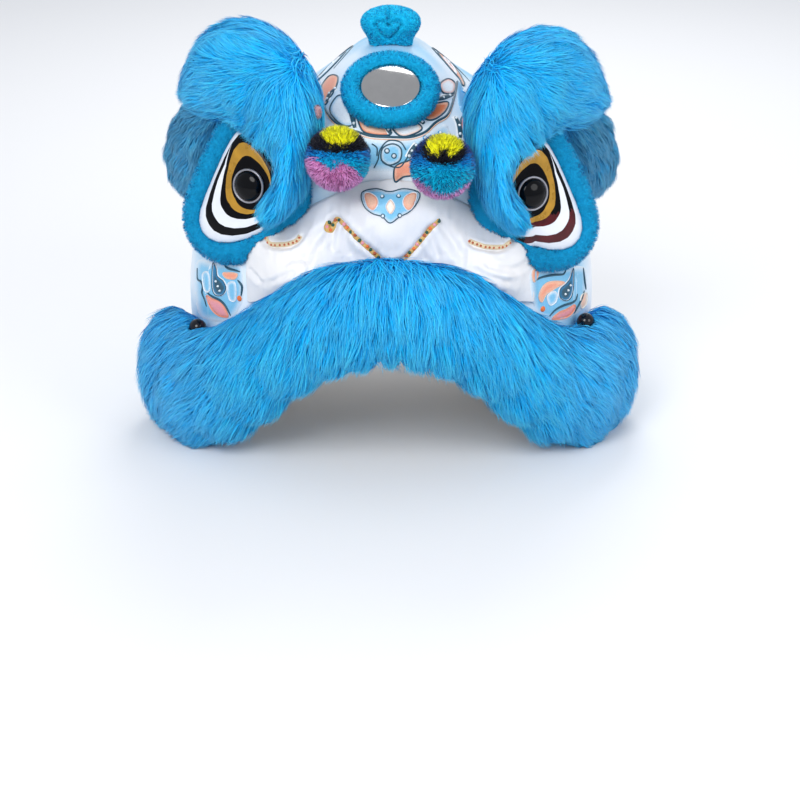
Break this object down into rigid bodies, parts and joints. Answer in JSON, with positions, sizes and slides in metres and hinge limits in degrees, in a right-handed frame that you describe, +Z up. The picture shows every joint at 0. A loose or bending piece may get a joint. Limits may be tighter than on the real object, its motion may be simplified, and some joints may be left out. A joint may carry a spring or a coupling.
{
  "type": "lion dance head",
  "caption": "Hollow lion dance head with a blue fur lip, fur brows and ears, white padded nose, glossy eyes, brow mirror, plush horn and two pompoms",
  "frame": {"origin": "on the floor under the middle of the bounding box, with the head standing on the rim of its shell and the ends of its lip", "axes": "+Z is up, the lion looks along -Y, and +X runs from its left side in the picture to its right side in the picture"},
  "size_m": [0.6618, 0.5754, 0.5494],
  "materials": {
    "printed_satin": "printed satin",
    "white_satin": "padded satin",
    "blue_fur": "long faux fur",
    "blue_plush": "short plush",
    "eye_gloss": "lacquered",
    "black_gloss": "lacquered",
    "grey_rim": "lacquered",
    "mirror_chrome": "polished",
    "pompom_fur": "dyed faux fur",
    "post_steel": "plain",
    "pale_pink": "satin"
  },
  "bodies": {
    "root": {"brow_left": "blue_fur", "brow_right": "blue_fur", "ear_left": "blue_fur", "ear_right": "blue_fur", "eye_frame_left": "blue_plush", "eye_frame_right": "blue_plush", "eye_plate_left": "eye_gloss", "eye_plate_right": "eye_gloss", "head_shell": "printed_satin", "horn": "blue_plush", "lip_fur": "blue_fur", "lip_stud_left": "black_gloss", "lip_stud_right": "black_gloss", "mirror": "mirror_chrome", "mirror_ring": "blue_plush", "nose": "white_satin", "pompom_left": "pompom_fur", "pompom_post_left": "post_steel", "pompom_post_right": "post_steel", "pompom_right": "pompom_fur", "pupil_left": "black_gloss", "pupil_right": "black_gloss", "pupil_rim_left": "grey_rim", "pupil_rim_right": "grey_rim", "small_ball": "pale_pink"}
  },
  "joints": []
}
